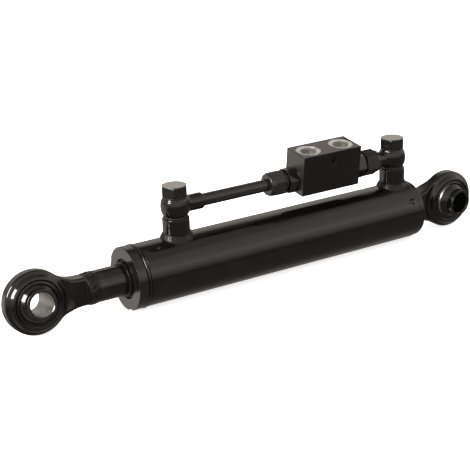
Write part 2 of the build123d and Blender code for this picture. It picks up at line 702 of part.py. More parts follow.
NODES = {
    "barrel_tube": barrel_tube(),
    "base_cap": base_cap(),
    "cap_weld": cap_weld(),
    "base_eye": eye(CAP_START),
    "base_eye_weld": fillet_weld(CAP_START, 6.5),
    "port_boss_base": port_boss(PORTS_X[0]),
    "port_boss_rod": port_boss(PORTS_X[1]),
    "boss_weld_base": boss_weld(PORTS_X[0]),
    "boss_weld_rod": boss_weld(PORTS_X[1]),
    "gland_head": gland_head(),
    "gland_ring": gland_ring(),
    "rod_guides": rod_guides(),
    "rod_seal": rod_seal(),
    "wiper_seal": wiper(),
    "gland_o_ring": gland_o_ring(),
    "gland_backup_ring": gland_backup_ring(),
    "banjo_bolt_base": banjo_bolt(PORTS_X[0], BOLT_ANGLES[0]),
    "banjo_bolt_rod": banjo_bolt(PORTS_X[1], BOLT_ANGLES[1]),
    "banjo_base": banjo_base(),
    "banjo_rod": banjo_rod(),
    "banjo_seals": banjo_seals(),
    "transfer_pipe": transfer_pipe(),
    "union_nut_base": union_nut(BLOCK_START - 37.5, NUT_LENGTHS[0], -1),
    "union_nut_rod": union_nut(BLOCK_END + 38, NUT_LENGTHS[1], 1),
    "cutting_rings": cutting_rings(),
    "adapter_base": adapter(BLOCK_START, -1),
    "adapter_rod": adapter(BLOCK_END, 1),
    "stud_seals": stud_seals(),
    "valve_block": valve_block(),
    "valve_seat_base": valve_seat(-1),
    "valve_seat_rod": valve_seat(1),
    "check_poppet_base": check_poppet(-1),
    "check_poppet_rod": check_poppet(1),
    "check_spring_base": check_spring(-1),
    "check_spring_rod": check_spring(1),
    "pilot_piston": pilot_piston(),
    "pilot_o_ring": pilot_o_ring(),
    "gallery_plug": gallery_plug(),
    "piston_seal": piston_seal(),
    "piston_wear_rings": piston_wear_rings(),
    "rod": rod(),
    "piston": piston(),
    "piston_nut": piston_nut(),
    "piston_o_ring": piston_o_ring(),
    "rod_eye": rod_eye(),
    "rod_weld": rod_weld(),
    "rod_ball": rod_ball(),
    "base_ball": base_ball(),
}

for node, shape in NODES.items():
    if isinstance(shape, list):
        shape = Compound(children=shape)
    export_step(shape, f"parts/{node}.step")
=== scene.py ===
import json
import math

import bmesh
import bpy
import numpy as np
from mathutils import Matrix, Vector


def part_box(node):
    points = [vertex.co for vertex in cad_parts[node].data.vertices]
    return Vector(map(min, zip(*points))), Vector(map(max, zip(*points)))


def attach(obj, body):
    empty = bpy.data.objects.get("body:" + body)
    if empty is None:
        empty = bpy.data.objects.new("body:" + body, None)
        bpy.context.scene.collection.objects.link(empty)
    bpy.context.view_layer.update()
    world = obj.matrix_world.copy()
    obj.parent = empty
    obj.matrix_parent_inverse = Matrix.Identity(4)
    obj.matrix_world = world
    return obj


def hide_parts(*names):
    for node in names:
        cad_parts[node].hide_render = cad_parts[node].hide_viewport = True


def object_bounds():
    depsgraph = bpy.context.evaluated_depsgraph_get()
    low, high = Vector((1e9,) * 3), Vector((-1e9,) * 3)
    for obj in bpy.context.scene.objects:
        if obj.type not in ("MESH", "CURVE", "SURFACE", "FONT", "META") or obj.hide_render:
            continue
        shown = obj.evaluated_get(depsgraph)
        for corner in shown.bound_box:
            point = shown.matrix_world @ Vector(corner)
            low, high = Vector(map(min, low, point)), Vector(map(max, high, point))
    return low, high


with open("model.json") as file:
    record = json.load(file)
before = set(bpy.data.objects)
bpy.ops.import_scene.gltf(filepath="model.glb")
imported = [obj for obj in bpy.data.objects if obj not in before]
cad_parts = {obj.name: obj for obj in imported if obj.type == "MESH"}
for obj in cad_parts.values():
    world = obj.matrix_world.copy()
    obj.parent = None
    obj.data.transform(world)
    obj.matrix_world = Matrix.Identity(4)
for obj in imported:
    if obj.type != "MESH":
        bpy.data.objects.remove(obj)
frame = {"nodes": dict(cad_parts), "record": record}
cad_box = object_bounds()

MM = 0.001
TAU = 2 * math.pi
MOUNTS = {m["name"]: m for m in frame["record"]["mounts"]}
CLOSED = MOUNTS["rod_ball_bore"]["pos_m"][0] / MM
ROD_TURN = math.radians(6.5)
TUBE_RADIUS, BORE_RADIUS = 35.0, 30.0
ROD_RADIUS = 17.5
PIN_RADIUS = 12.7


def span(node):
    """A CAD node's box, in millimetres, as two lists."""
    low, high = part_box(node)
    return [v / MM for v in low], [v / MM for v in high]


# ------------------------------------------------------------------ placing

def move(x=0.0, y=0.0, z=0.0):
    """A move, in millimetres."""
    return Matrix.Translation((x * MM, y * MM, z * MM))


def frame_x(x=0.0, z=0.0, flip=False):
    """Lays local +Z along +X (or -X if flipped) and local +X along +Y (or -Y)."""
    base = Matrix(((0, 0, 1), (1, 0, 0), (0, 1, 0))).to_4x4()
    if flip:
        base = Matrix.Rotation(math.pi, 4, "Z") @ base
    return move(x, z=z) @ base


def frame_axis(axis, x=0.0):
    """Local +Z along the given axis."""
    return move(x) @ Vector((0, 0, 1)).rotation_difference(Vector(axis)).to_matrix().to_4x4()


# ------------------------------------------------------------------ meshes

def new_object(name, verts, faces, place=None, normals=None, angle=32):
    """Makes an object from points in millimetres, smooth but for edges sharper than the angle."""
    mesh = bpy.data.meshes.new(name)
    mesh.from_pydata((np.asarray(verts, float) * MM).tolist(), [], faces)
    mesh.polygons.foreach_set("use_smooth", [True] * len(mesh.polygons))
    mesh.update()
    obj = bpy.data.objects.new(name, mesh)
    bpy.context.scene.collection.objects.link(obj)
    if place is not None:
        obj.matrix_world = place
    if normals is not None:
        mesh.normals_split_custom_set_from_vertices(normals.tolist())
    else:
        outward(mesh)
        mesh.set_sharp_from_angle(angle=math.radians(angle))
    return obj


def outward(mesh):
    bm = bmesh.new()
    bm.from_mesh(mesh)
    bmesh.ops.recalc_face_normals(bm, faces=bm.faces)
    bm.to_mesh(mesh)
    bm.free()


def weighted(obj):
    """Keeps flat faces flat next to their rounded edges."""
    mod = obj.modifiers.new("weighted", "WEIGHTED_NORMAL")
    mod.keep_sharp = True
    mod.weight = 80
    return obj


def rounded(corners):
    """A profile of (r, z) or (r, z, radius) corners, with the radii turned into arcs."""
    pts = [np.array(c[:2], float) for c in corners]
    radii = [c[2] if len(c) > 2 else 0.0 for c in corners]
    out = []
    for i, p in enumerate(pts):
        if radii[i] == 0:
            out.append(tuple(p))
            continue
        a, b = pts[i - 1] - p, pts[(i + 1) % len(pts)] - p
        la, lb = np.linalg.norm(a), np.linalg.norm(b)
        a, b = a / la, b / lb
        half = math.acos(max(-1, min(1, float(a @ b)))) / 2
        run = min(radii[i] / math.tan(half), 0.49 * la, 0.49 * lb)
        radius = run * math.tan(half)
        centre = p + (a + b) / np.linalg.norm(a + b) * radius / math.sin(half)
        start, end = p + a * run - centre, p + b * run - centre
        sweep = math.atan2(start[0] * end[1] - start[1] * end[0], start @ end)
        steps = max(2, int(abs(sweep) / math.radians(13)) + 1)
        for k in range(steps + 1):
            t = sweep * k / steps
            c, s = math.cos(t), math.sin(t)
            out.append((centre[0] + c * start[0] - s * start[1], centre[1] + s * start[0] + c * start[1]))
    return out


def spin(name, rows, place=None, count=128, closed=True, thetas=None, angle=32):
    """Turns rows of (r, z), each a number or an array over the angles, into a skin about local Z.
    A closed profile joins its last row to its first; an open one runs between two poles."""
    thetas = np.arange(count) * TAU / count if thetas is None else np.asarray(thetas)
    n = len(thetas)
    verts, index = [], []
    for r, z in rows:
        if np.ndim(r) == 0 and r == 0:
            index.append([len(verts)] * n)
            verts.append((0.0, 0.0, float(np.mean(z))))
            continue
        r, z = np.broadcast_to(r, n), np.broadcast_to(z, n)
        index.append(list(range(len(verts), len(verts) + n)))
        verts += list(zip(r * np.cos(thetas), r * np.sin(thetas), z))
    faces = []
    pairs = list(zip(index, index[1:])) + ([(index[-1], index[0])] if closed else [])
    for low, high in pairs:
        for k in range(n):
            m = (k + 1) % n
            face = list(dict.fromkeys((low[k], low[m], high[m], high[k])))
            if len(face) > 2:
                faces.append(face)
    return weighted(new_object(name, verts, faces, place, angle=angle))


def lathe(name, corners, place=None, count=128, angle=32):
    """A turned piece from a profile of rounded corners; it is solid if it starts and ends on the axis."""
    closed = not (corners[0][0] == 0 and corners[-1][0] == 0)
    return spin(name, rounded(corners), place, count, closed, angle=angle)


def cut(obj, *tools):
    """Cuts tools out of a piece for good."""
    for tool in tools:
        mod = obj.modifiers.new("cut", "BOOLEAN")
        mod.operation = "DIFFERENCE"
        mod.solver = "EXACT"
        mod.object = tool
    bake(obj)
    for tool in tools:
        bpy.data.objects.remove(tool)


def bake(obj):
    """Applies a piece's modifiers to its mesh."""
    bpy.context.view_layer.update()
    depsgraph = bpy.context.evaluated_depsgraph_get()
    mesh = bpy.data.meshes.new_from_object(obj.evaluated_get(depsgraph))
    obj.modifiers.clear()
    obj.data = mesh


def bevel(obj, width, segments=3):
    mod = obj.modifiers.new("bevel", "BEVEL")
    mod.width = width * MM
    mod.segments = segments
    mod.limit_method = "ANGLE"
    mod.angle_limit = math.radians(30)
    mod.harden_normals = False


def box(size, middle_z=0.0):
    """A block of the given size about its own middle, or higher by middle_z."""
    bpy.ops.mesh.primitive_cube_add(size=1)
    obj = bpy.context.object
    obj.data.transform(move(z=middle_z) @ Matrix.Diagonal((*(v * MM for v in size), 1)))
    return obj


def crisp(obj, angle=28):
    """Shades a cut piece smooth again, but for the edges sharper than the angle."""
    obj.data.polygons.foreach_set("use_smooth", [True] * len(obj.data.polygons))
    obj.data.set_sharp_from_angle(angle=math.radians(angle))
    weighted(obj)


# ------------------------------------------------------------------ skins of distance fields

def smooth_min(a, b, k):
    h = np.maximum(k - np.abs(a - b), 0) / k
    return np.minimum(a, b) - h * h * k / 4


def smooth_max(a, b, k):
    return -smooth_min(-a, -b, k)


def skin(name, field, low, high, cell, place=None):
    """Meshes the surface where field(x, y, z) is zero, in millimetres, and smooths it onto the field."""
    axes = [np.arange(lo, hi + cell, cell) for lo, hi in zip(low, high)]
    grid = np.meshgrid(*axes, indexing="ij")
    values = field(*grid)
    inside = values < 0
    shape = tuple(n - 1 for n in values.shape)
    total, hits = np.zeros(shape + (3,)), np.zeros(shape)
    for axis in range(3):
        last = values.shape[axis] - 1
        a, b = np.take(values, range(last), axis), np.take(values, range(1, last + 1), axis)
        crossing = (a < 0) != (b < 0)
        with np.errstate(divide="ignore", invalid="ignore"):
            t = np.where(crossing, a / (a - b), 0)
        others = [k for k in range(3) if k != axis]
        for i in (0, 1):
            for j in (0, 1):
                pick = [slice(None)] * 3
                pick[others[0]] = slice(i, i + shape[others[0]])
                pick[others[1]] = slice(j, j + shape[others[1]])
                on = crossing[tuple(pick)]
                offset = np.zeros(shape + (3,))
                offset[..., axis] = t[tuple(pick)]
                offset[..., others[0]] = i
                offset[..., others[1]] = j
                total += np.where(on[..., None], offset, 0)
                hits += on
    active = hits > 0
    cells = np.argwhere(active)
    ids = -np.ones(shape, int)
    ids[active] = np.arange(len(cells))
    points = (cells + total[active] / hits[active][:, None]) * cell + np.array([a[0] for a in axes])
    faces = []
    for axis in range(3):
        u, v = [(1, 2), (2, 0), (0, 1)][axis]
        core = [slice(1, -1)] * 3
        core[axis] = slice(0, -1)
        after = list(core)
        after[axis] = slice(1, None)
        a, b = inside[tuple(core)], inside[tuple(after)]
        for flip, mask in ((False, a & ~b), (True, ~a & b)):
            spots = np.argwhere(mask)
            spots[:, [u, v]] += 1
            ring = []
            for du, dv in ((-1, -1), (0, -1), (0, 0), (-1, 0)):
                c = spots.copy()
                c[:, u] += du
                c[:, v] += dv
                ring.append(ids[c[:, 0], c[:, 1], c[:, 2]])
            quads = np.stack(ring[::-1] if flip else ring, 1)
            faces += quads.tolist()
    for _ in range(3):
        value, slope = measure(field, points)
        step = value[:, None] * slope / np.maximum((slope ** 2).sum(1), 1e-6)[:, None]
        size = np.linalg.norm(step, axis=1, keepdims=True)
        points = points - step * np.minimum(1, 0.5 * cell / np.maximum(size, 1e-9))
    _, slope = measure(field, points)
    normals = slope / np.maximum(np.linalg.norm(slope, axis=1, keepdims=True), 1e-9)
    return new_object(name, points, faces, place, normals)


def measure(field, points, h=0.02):
    """The field and its slope at some points."""
    x, y, z = points.T
    value = field(x, y, z)
    slope = np.stack([
        field(x + h, y, z) - field(x - h, y, z),
        field(x, y + h, z) - field(x, y - h, z),
        field(x, y, z + h) - field(x, y, z - h),
    ], 1) / (2 * h)
    return value, slope


def lumps(x, y, z, size, seed=0):
    """A smooth random field of about unit height, whose lumps are about size millimetres across."""
    rng = np.random.RandomState(seed)
    total = 0
    for _ in range(7):
        k = rng.normal(size=3)
        k *= TAU / size * (0.6 + 0.8 * rng.rand()) / np.linalg.norm(k)
        total = total + np.sin(k[0] * x + k[1] * y + k[2] * z + TAU * rng.rand())
    return total / 3.0


# ------------------------------------------------------------------ the pieces

PIECES = {}


def add(obj, body, nodes, material):
    """Puts a piece on its body, in place of CAD nodes, with its finish."""
    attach(obj, body)
    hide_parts(*nodes)
    PIECES[obj.name] = (obj, material)


# The eyes: the rim, the step up to the raised face, the shank's half sizes, and the ball in its socket.
EYE_RADIUS, EYE_HALF, RIM_HALF = 34.92, 12.8, 7.4
STEP_FOOT, STEP_TILT = 30.9, math.radians(36)
SHANK_HEIGHT, SHANK_WIDTH = 15.5, 11.0
BALL_RADIUS, SOCKET = 24.5, 24.55
GROOVE_RADIUS = 24.2
BALL_NECK, BALL_HALF = 16.5, 25.5


def eye_field(length, slope, seed):
    """A forged ball eye about local Y: a flat rim round a raised inner face, with its shank along +X."""
    normal = (math.sin(slope), math.cos(slope))

    def field(x, y, z):
        r, a, h = np.hypot(x, z), np.abs(y), np.abs(z)
        neck = normal[0] * x + normal[1] * h - EYE_RADIUS
        outline = np.where(normal[1] * x > normal[0] * h, neck, r - EYE_RADIUS)
        outline = smooth_min(outline, np.maximum(h - SHANK_HEIGHT, 10 - x), 9.0)
        away = np.clip((r - EYE_RADIUS + 1.0) / 8.0, 0, 1)
        half = RIM_HALF + (SHANK_WIDTH - RIM_HALF) * away * away * (3 - 2 * away)
        plate = smooth_max(outline, (a - half) * 0.9, 3.8)
        step = (r - STEP_FOOT) * math.cos(STEP_TILT) + (a - RIM_HALF - 1.2) * math.sin(STEP_TILT)
        raised = np.maximum(smooth_max(step, a - EYE_HALF, 2.2), r - STEP_FOOT - 2.5)
        body = np.maximum(smooth_min(plate, raised, 2.0), x - length)
        ball = np.sqrt(x * x + y * y + z * z) - SOCKET
        groove = np.hypot(r - GROOVE_RADIUS, a - EYE_HALF - 0.2) - 1.2
        body = smooth_max(body, -groove, 0.9)
        return smooth_max(body, -ball, 0.8) + 0.05 * lumps(x, y, z, 16, seed)

    return field


def make_eye(name, length, slope, place, body, node, seed):
    field = eye_field(length, math.radians(slope), seed)
    obj = skin(name, field, (-37, -15, -37), (length + 1, 15, 37), 0.5, place)
    add(obj, body, [node], "forging")


def make_ball(name, mount, node, material):
    """A ball with a neck on each side, bored through along the mount's axis."""
    x = MOUNTS[mount]["pos_m"][0] / MM
    shoulder = math.sqrt(BALL_RADIUS ** 2 - BALL_NECK ** 2)
    arc = [math.atan2(shoulder, BALL_NECK) * k / 22 for k in range(-22, 23)]
    crown = [(BALL_RADIUS * math.cos(t), BALL_RADIUS * math.sin(t)) for t in arc]
    lower = rounded([
        (PIN_RADIUS, 0), (PIN_RADIUS, 1.1 - BALL_HALF, 0.4), (PIN_RADIUS + 1, -BALL_HALF, 0.4),
        (BALL_NECK, -BALL_HALF, 0.9), (BALL_NECK, -shoulder)])[1:-1]
    upper = [(r, -z) for r, z in reversed(lower)]
    rows = lower + crown + upper + [(PIN_RADIUS, 0)]
    obj = spin(name, rows, frame_axis(MOUNTS[mount]["axis"], x), 144)
    add(obj, node, [node], material)


def weld_ripple(angle, pitch, height, seed, along=0.0):
    """The scales of a weld bead round an axis, slanted where along grows."""
    wave = np.abs(np.sin((angle * pitch + 0.6 * np.sin(3 * angle + seed)) / 2 + 0.35 * along))
    return height * (wave - 0.5)


make_eye("eye_forging_base", 60.0, 28.5, Matrix.Identity(4), "barrel", "base_eye", 1)
rod_eye_place = move(CLOSED) @ Matrix.Rotation(ROD_TURN, 4, "X") @ Matrix.Rotation(math.pi, 4, "Z")
make_eye("eye_forging_rod", 57.6, 39.4, rod_eye_place, "piston_rod", "rod_eye", 2)
make_ball("link_ball_base", "base_ball_bore", "base_ball", "ball_base")
make_ball("link_ball_rod", "rod_ball_bore", "rod_ball", "ball_rod")

# The tube, with a round-bottomed dimple cut near its base end, and the cap and seam that close it.
TUBE_START, TUBE_END = span("barrel_tube")[0][0], span("barrel_tube")[1][0]
COUNTERBORE = 31.5
DIMPLE_X, DIMPLE_TURN, DIMPLE_BALL, DIMPLE_HEIGHT = 76.2, math.radians(32), 5.0, 38.0
tube = lathe("barrel", [
    (BORE_RADIUS, TUBE_START, 0.3), (TUBE_RADIUS, TUBE_START, 1.4), (TUBE_RADIUS, TUBE_END, 0.9),
    (COUNTERBORE, TUBE_END, 0.2), (COUNTERBORE, TUBE_END - 20), (BORE_RADIUS, TUBE_END - 21.5)],
    frame_x(), 192)
ball_rows = [(DIMPLE_BALL * math.cos(t), DIMPLE_BALL * math.sin(t)) for t in np.linspace(-1.4, 1.4, 21)]
dent_at = move(DIMPLE_X, DIMPLE_HEIGHT * math.cos(DIMPLE_TURN), DIMPLE_HEIGHT * math.sin(DIMPLE_TURN))
dent = spin("dent", [(0, -DIMPLE_BALL)] + ball_rows + [(0, DIMPLE_BALL)], dent_at, 48, False)
cut(tube, dent)
tube.data.set_sharp_from_angle(angle=math.radians(32))
weighted(tube)
add(tube, "barrel", ["barrel_tube"], "enamel")

CAP_FACE, SEAM = 60.0, 67.0
cap = lathe("end_cap", [
    (0, CAP_FACE), (34.1, CAP_FACE, 1.6), (34.1, SEAM - 0.7, 0.5), (33.2, SEAM), (BORE_RADIUS - 0.05, SEAM),
    (BORE_RADIUS - 0.05, SEAM + 9, 0.8), (0, SEAM + 9)], frame_x(), 160)
add(cap, "barrel", ["base_cap"], "enamel")
seam = lathe("cap_weld_bead", [
    (33.2, SEAM - 0.8), (34.0, SEAM - 0.8, 0.3), (34.3, SEAM, 0.3), (34.1, SEAM + 0.7, 0.3),
    (33.2, SEAM + 0.7)], frame_x(), 160)
add(seam, "barrel", ["cap_weld"], "weld")


def shank_weld(x, y, z):
    """The fillet round the base eye's shank, on the cap's face."""
    h = smooth_max(np.abs(z) - SHANK_HEIGHT, np.abs(y) - SHANK_WIDTH, 8.0)
    t = CAP_FACE - x
    near = np.exp(-((h - 2) ** 2 + (t - 2) ** 2) / 12)
    bead = smooth_min(h, t, 13.0) + 0.1 + weld_ripple(np.arctan2(z, y), 26, 0.35, 1) * near
    return np.maximum(np.maximum(bead, -(t + 1.0)), np.maximum(-(h + 1.2), np.maximum(h - 8.5, t - 8.5)))


shank_bead = skin("shank_weld_bead", shank_weld, (50, -22, -26), (62, 22, 26), 0.5)
add(shank_bead, "barrel", ["base_eye_weld"], "weld")

# The posts that carry the oil circuit. Each stands on the tube in a flared bead.
SIDES = ("base", "rod")
BOSS_X = {side: sum(end[0] for end in span(f"port_boss_{side}")) / 2 for side in SIDES}
BOSS_TOP = span("port_boss_rod")[1][2]
BOSS_RADIUS, BOSS_THREAD = 15.1, 10.5


def boss_weld(x, y, z):
    """The flared bead between a port boss, about local Z, and the tube below it."""
    boss = np.hypot(x, y) - BOSS_RADIUS
    wall = np.hypot(y, z) - TUBE_RADIUS
    flank = (boss / 4.3 + wall / 7.0 - 1) * 3.66
    flank = flank + weld_ripple(np.arctan2(y, x), 26, 0.12, 2) + 0.12 * lumps(x, y, z, 8, 4)
    fill = smooth_max(smooth_max(flank, boss - 3.9, 1.2), wall - 6.4, 1.2)
    return np.maximum(np.maximum(fill, -(boss + 1.2)), -(wall + 1.2))


PIPE_Z = sum(end[2] for end in span("transfer_pipe")) / 2
BLOCK_X0, BLOCK_X1 = (end[0] for end in span("valve_block"))
BLOCK_MID = (BLOCK_X0 + BLOCK_X1) / 2
BLOCK_TILT = math.radians(7.8)
FLATS = 27.0
SIXTH = TAU / 6


def hex_radius(thetas, first_corner):
    """The outline of a hexagon with slightly rounded corners, over the angles."""
    away = (thetas - first_corner) % SIXTH
    to_corner = np.minimum(away, SIXTH - away)
    flat = FLATS / 2 / np.cos(math.pi / 6 - to_corner)
    crest = FLATS / math.sqrt(3) - 0.09
    return smooth_min(flat, crest + 0.9 * to_corner, 0.35)


def hex_angles(first_corner):
    """Angles round a hexagon, closer together at its corners."""
    corner = 0.04
    steps = np.concatenate([
        np.linspace(0, corner, 4)[:-1], np.linspace(corner, SIXTH - corner, 17),
        np.linspace(SIXTH - corner, SIXTH, 4)[1:-1]])
    return np.concatenate([steps + k * SIXTH for k in range(6)]) + first_corner


def hex_rows(thetas, first_corner, z0, z1, low, high):
    """Rows of a hexagonal prism from z0 to z1; low and high are the radii where its chamfers end."""
    outline = hex_radius(thetas, first_corner)
    rows = []
    for z, radius, way in ((z0, low, 1), (z1, high, -1)):
        drop = np.maximum(outline - radius, 0.02) * math.tan(math.radians(30))
        end = [
            (np.minimum(outline, radius), z), (outline - 0.2, z + way * (drop - 0.1)),
            (outline, z + way * (drop + 0.25))]
        rows += end if way > 0 else end[::-1]
    return rows


def thread_rows(thetas, radius, depth, z0, z1, pitch, steps=8):
    """Rows of a helical thread of the given crest radius; a negative depth makes it an inner thread."""
    rows = []
    count = max(2, int((z1 - z0) / pitch * steps))
    for k in range(count + 1):
        z = z0 + (z1 - z0) * k / count
        phase = (z / pitch - thetas / TAU) % 1
        tooth = np.clip(1.25 * np.abs(2 * phase - 1) * 1.15 - 0.2, 0, 1)
        fade = min(1, 4 * min(k, count - k) / count)
        rows.append((radius - depth * tooth * fade, z))
    return rows


def washer_rows(inner, outer, z0, z1, gap=0.0):
    """A flat ring with a rounded rim, a gap clear of what it lies between."""
    return [(inner, z0 + gap), (inner, z1 - gap), (outer, z1 - gap, 0.4), (outer, z0 + gap, 0.4)]


for side in SIDES:
    place = move(BOSS_X[side])
    flare = skin(f"boss_weld_bead_{side}", boss_weld, (-28, -28, 18), (28, 28, 44), 0.6, place)
    add(flare, "barrel", [f"boss_weld_{side}"], "weld")
    boss = lathe(f"boss_{side}", [
        (0, 38.5), (BOSS_THREAD, 41), (BOSS_THREAD, BOSS_TOP), (BOSS_RADIUS, BOSS_TOP, 0.9),
        (BOSS_RADIUS, 30), (0, 30)], place, 96)
    add(boss, "barrel", [f"port_boss_{side}"], "enamel")

# Bonded seals under and over the banjo eyes, and the hollow bolts through them.
BANJO_BOTTOM, BANJO_TOP = BOSS_TOP + 2.0, BOSS_TOP + 23.0
HEAD_FOOT, HEAD_TOP = BANJO_TOP + 1.4, span("banjo_bolt_rod")[1][2]
for side in SIDES:
    for level, z0, z1, outer in (("low", BOSS_TOP, BANJO_BOTTOM, 13.5), ("high", BANJO_TOP, HEAD_FOOT, 13.2)):
        rows = washer_rows(BOSS_THREAD + 0.1, outer, z0, z1, 0.05)
        ring = lathe(f"banjo_seal_{level}_{side}", rows, move(BOSS_X[side]), 96)
        add(ring, "barrel", ["banjo_seals"], "satin")

for side, corner in (("base", math.radians(-8.6)), ("rod", math.radians(1.7))):
    thetas = hex_angles(corner)
    rows = [(0, HEAD_FOOT), (12.6, HEAD_FOOT)] + hex_rows(thetas, corner, HEAD_FOOT, HEAD_TOP, 13.0, 13.0)
    rows += [(12.3, HEAD_TOP), (11.5, HEAD_TOP - 0.03), (0, HEAD_TOP - 0.03)]
    head = spin(f"banjo_bolt_head_{side}", rows, move(BOSS_X[side]), closed=False, thetas=thetas, angle=20)
    add(head, "barrel", [f"banjo_bolt_{side}"], "bolt")


PIPE_RADIUS, SLEEVE_RADIUS, SLEEVE_END = 7.0, 9.25, 350.0


def banjo_field(sleeve_end, tail_end):
    """A bulged banjo eye about local Z, with a sleeve along X; a thinner tail ends at tail_end, if not 0."""
    way = 1 if sleeve_end > 0 else -1

    def field(x, y, z):
        r = np.hypot(x, y)
        h = z - PIPE_Z
        lift = np.abs(h)
        bulge = np.hypot(r, h * 0.86) - 16.2
        waist = r - 13.6
        eye = smooth_min(smooth_max(bulge, lift - 8.6, 1.2), waist, 1.6)
        eye = smooth_max(eye, lift - (BANJO_TOP - BANJO_BOTTOM) / 2, 0.8)
        d = np.hypot(y, h)
        sleeve = smooth_max(d - SLEEVE_RADIUS, way * x - abs(sleeve_end), 2.4)
        sleeve = np.maximum(sleeve, -way * x + 4)
        body = smooth_min(eye, sleeve, 3.0)
        if tail_end:
            tail = np.maximum(d - PIPE_RADIUS, np.abs(x - way * abs(tail_end) / 2) - abs(tail_end) / 2)
            body = smooth_min(body, tail, 1.2)
        ripple = 0.10 * np.sin(14 * np.arctan2(h, y)) * np.exp(-((way * x - 13.5) / 1.6) ** 2)
        return np.maximum(body + ripple, -(r - 10.7)) + 0.03 * lumps(x, y, z, 9, 5)

    return field


BANJOS = (("rod", SLEEVE_END - BOSS_X["rod"], 0, -36, 18), ("base", 23.5, 40.0, -18, 42))
for side, sleeve_end, tail_end, low_x, high_x in BANJOS:
    field = banjo_field(sleeve_end, tail_end)
    banjo = skin(f"banjo_{side}_body", field, (low_x, -18, 57), (high_x, 18, 82), 0.5, move(BOSS_X[side]))
    add(banjo, "barrel", [f"banjo_{side}"], "enamel")

# The pipe, with its nuts and the couplings in the block's ends.
PIPE_BORE, PIPE_START = 5.0, BLOCK_X1 + 13
pipe = lathe("steel_pipe", [
    (PIPE_BORE, PIPE_START), (PIPE_RADIUS, PIPE_START, 0.3), (PIPE_RADIUS, SLEEVE_END + 2),
    (PIPE_BORE, SLEEVE_END + 2)], frame_x(z=PIPE_Z), 64)
add(pipe, "barrel", ["transfer_pipe"], "dry_enamel")


def pipe_nut(name, node, far_end, length, flip, corner):
    """A union nut whose chamfered hexagon ends in a rounded collar round the pipe."""
    thetas = hex_angles(corner)
    shoulder = length - 4.6
    rows = hex_rows(thetas, corner, 0, shoulder, 14.6, 13.6)
    rows += rounded([
        (13.4, shoulder), (12.6, length, 1.6), (PIPE_RADIUS + 0.1, length, 0.2),
        (PIPE_RADIUS + 0.1, length - 2), (11.0, length - 6), (11.0, 0.6), (11.6, 0)])[1:]
    near_end = far_end + length if flip else far_end - length
    nut = spin(name, rows, frame_x(near_end, PIPE_Z, flip), thetas=thetas, angle=20)
    add(nut, "barrel", [node], "dry_enamel")


SEAL_THICK = 1.5
ROUND = np.arange(96) * TAU / 96


def coupling(side, face, flip, corner):
    """A male stud coupling, with its washer and the stretch of thread that shows before the nut."""
    place = frame_x(face, PIPE_Z, flip)
    thetas = hex_angles(corner)
    rows = [(0, SEAL_THICK)] + hex_rows(thetas, corner, SEAL_THICK, 14.0, 14.4, 14.2)
    rows += [(9.6, 14.0), (9.6, 16.2), (10.9, 16.2), (0, 16.2)]
    body = spin(f"coupling_{side}", rows, place, closed=False, thetas=thetas, angle=20)
    add(body, "barrel", [f"adapter_{side}"], "enamel")
    rows = [(0, 14.2), (9.6, 14.2)] + thread_rows(ROUND, 10.95, 0.75, 14.4, 24.0, 1.5)
    rows += [(9.0, 24.5), (0, 24.5)]
    thread = spin(f"coupling_thread_{side}", rows, place, closed=False, thetas=ROUND, angle=60)
    add(thread, "barrel", [f"adapter_{side}"], "satin")
    washer = lathe(f"coupling_seal_{side}", washer_rows(10.6, 13.9, 0.05, SEAL_THICK), place, 96)
    add(washer, "barrel", ["stud_seals"], "satin")


coupling("base", BLOCK_X0, True, 0.15)
coupling("rod", BLOCK_X1, False, 0.15)
pipe_nut("pipe_nut_base", "union_nut_base", BLOCK_X0 - 37.5, 21.0, True, 0.35)
pipe_nut("pipe_nut_rod", "union_nut_rod", BLOCK_X1 + 38.0, 19.0, False, 0.30)

# The valve block, its two port inserts and the plug in its front face.
BLOCK_PLACE = move(BLOCK_MID, z=PIPE_Z) @ Matrix.Rotation(-BLOCK_TILT, 4, "X")
BLOCK_HALF = (BLOCK_X1 - BLOCK_X0) / 2
BLOCK_LOW, BLOCK_HIGH, BLOCK_SIDE = -15.8, 32.2, 18.0
PORT_OFFSET = abs(MOUNTS["oil_port_rod"]["pos_m"][0] / MM - BLOCK_MID)
PORT_RADIUS, THREAD_RADIUS, THREAD_DEPTH, THREAD_PITCH = 14.5, 10.48, 1.15, 1.814
PLUG_PLACE = move(-1.2, z=22.5) @ Matrix.Rotation(-math.pi / 2, 4, "X")
PLUG_RADIUS = 3.4

block = box((2 * BLOCK_HALF, 2 * BLOCK_SIDE, BLOCK_HIGH - BLOCK_LOW), (BLOCK_HIGH + BLOCK_LOW) / 2)
block.name = "lock_valve_block"
block.data.name = block.name
bevel(block, 0.7)
bake(block)
PORT_ROWS = [(0, 14), (PORT_RADIUS, 14), (PORT_RADIUS, 40), (0, 40)]
END_ROWS = [(0, 28.5), (10.6, 28.5), (10.6, 50), (0, 50)]
tools = []
for side in (-1, 1):
    tools.append(lathe("port_tool", PORT_ROWS, move(side * PORT_OFFSET), 96))
    tools.append(lathe("end_tool", END_ROWS, frame_x(flip=side < 0), 64))
tools.append(lathe("plug_tool", [
    (0, 14.6), (PLUG_RADIUS, 14.6), (PLUG_RADIUS, 17.6), (PLUG_RADIUS + 0.5, 18.2), (PLUG_RADIUS + 0.5, 19),
    (0, 19)], PLUG_PLACE, 48))
cut(block, *tools)
crisp(block)
block.matrix_world = BLOCK_PLACE
add(block, "barrel", ["valve_block"], "block")

